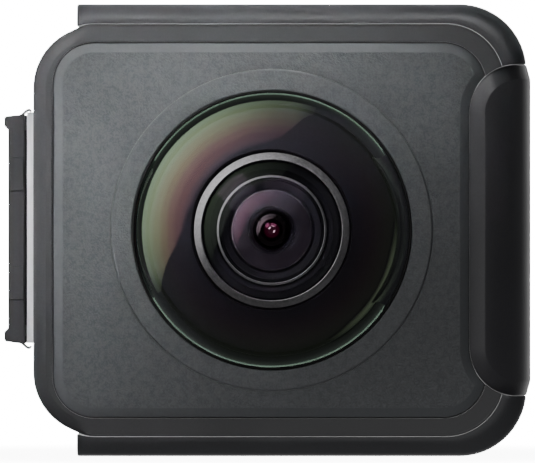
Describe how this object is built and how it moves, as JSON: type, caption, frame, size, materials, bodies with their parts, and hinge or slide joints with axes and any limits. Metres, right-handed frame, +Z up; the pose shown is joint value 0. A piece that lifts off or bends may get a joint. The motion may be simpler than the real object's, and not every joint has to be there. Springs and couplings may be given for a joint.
{
  "type": "action camera lens module",
  "caption": "Dual fisheye lens module of a modular action camera: grained dark body in a wrap-round frame, glass domes front and back, docking plug on one end.",
  "frame": {"origin": "middle of the module's box at the bottom of its lower rail", "axes": "+Z up, -Y towards the front lens, -X towards the docking plug, lens axis along Y"},
  "size_m": [0.0622, 0.0494, 0.0532],
  "materials": {
    "frame_metal": "satin dark grey anodised band",
    "cover_plastic": "fine satin dark grey",
    "plate_plastic": "fine leather-like grain, dark grey",
    "cap_plastic": "smooth satin black",
    "black_plastic": "moulded dark grey",
    "black_metal": "matte black anodised",
    "grey_metal": "satin turned",
    "chassis_metal": "die cast",
    "bright_metal": "bright, fine brushed",
    "spring_steel": "sprung strip",
    "screw_steel": "zinc finish",
    "seal_rubber": "matte black",
    "lens_glass": "coated, green and magenta sheen",
    "coated_glass": "purple coated",
    "sensor_dark": "dark sensor cover",
    "board_green": "solder mask",
    "flex_film": "polyimide film"
  },
  "bodies": {
    "root": {"outer_frame": "frame_metal", "end_cap": "cap_plastic", "chassis": "chassis_metal", "dock_frame": "bright_metal", "dock_gasket": "seal_rubber", "connector_housing": "black_plastic", "contact_carrier": "black_plastic", "dock_board": "board_green", "front_cover": "cover_plastic", "front_plate": "plate_plastic", "front_lens_ring": "plate_plastic", "front_dome": "lens_glass", "front_dome_seal": "seal_rubber", "front_lens_barrel": "black_metal", "front_baffle": "black_metal", "front_cone_ring": "grey_metal", "front_inner_cup": "black_metal", "front_trim_ring": "grey_metal", "front_second_element": "lens_glass", "front_third_mount": "black_metal", "front_third_element": "coated_glass", "front_iris": "black_metal", "front_rear_group": "coated_glass", "front_ir_filter": "coated_glass", "front_image_sensor": "sensor_dark", "front_sensor_holder": "black_plastic", "front_sensor_board": "board_green", "front_flex": "flex_film", "front_cover_screw_1": "screw_steel", "front_cover_screw_2": "screw_steel", "front_cover_screw_3": "screw_steel", "front_cover_screw_4": "screw_steel", "rear_cover": "cover_plastic", "rear_plate": "plate_plastic", "rear_lens_ring": "plate_plastic", "rear_dome": "lens_glass", "rear_dome_seal": "seal_rubber", "rear_lens_barrel": "black_metal", "rear_baffle": "black_metal", "rear_cone_ring": "grey_metal", "rear_inner_cup": "black_metal", "rear_trim_ring": "grey_metal", "rear_second_element": "lens_glass", "rear_third_mount": "black_metal", "rear_third_element": "coated_glass", "rear_iris": "black_metal", "rear_rear_group": "coated_glass", "rear_ir_filter": "coated_glass", "rear_image_sensor": "sensor_dark", "rear_sensor_holder": "black_plastic", "rear_sensor_board": "board_green", "rear_flex": "flex_film", "rear_cover_screw_1": "screw_steel", "rear_cover_screw_2": "screw_steel", "rear_cover_screw_3": "screw_steel", "rear_cover_screw_4": "screw_steel"},
    "latch_spring_upper": {"latch_spring_upper": "spring_steel"},
    "latch_spring_lower": {"latch_spring_lower": "spring_steel"}
  },
  "joints": [
    {"name": "latch_flex_upper", "type": "hinge", "parent": "root", "child": "latch_spring_upper", "pos_m": [-0.0303, 0, 0.03989], "axis": [0, 1, 0], "range_deg": [0, 18], "stiffness_Nm_per_rad": 0.006},
    {"name": "latch_flex_lower", "type": "hinge", "parent": "root", "child": "latch_spring_lower", "pos_m": [-0.0303, 0, 0.01361], "axis": [0, -1, 0], "range_deg": [0, 18], "stiffness_Nm_per_rad": 0.006}
  ]
}
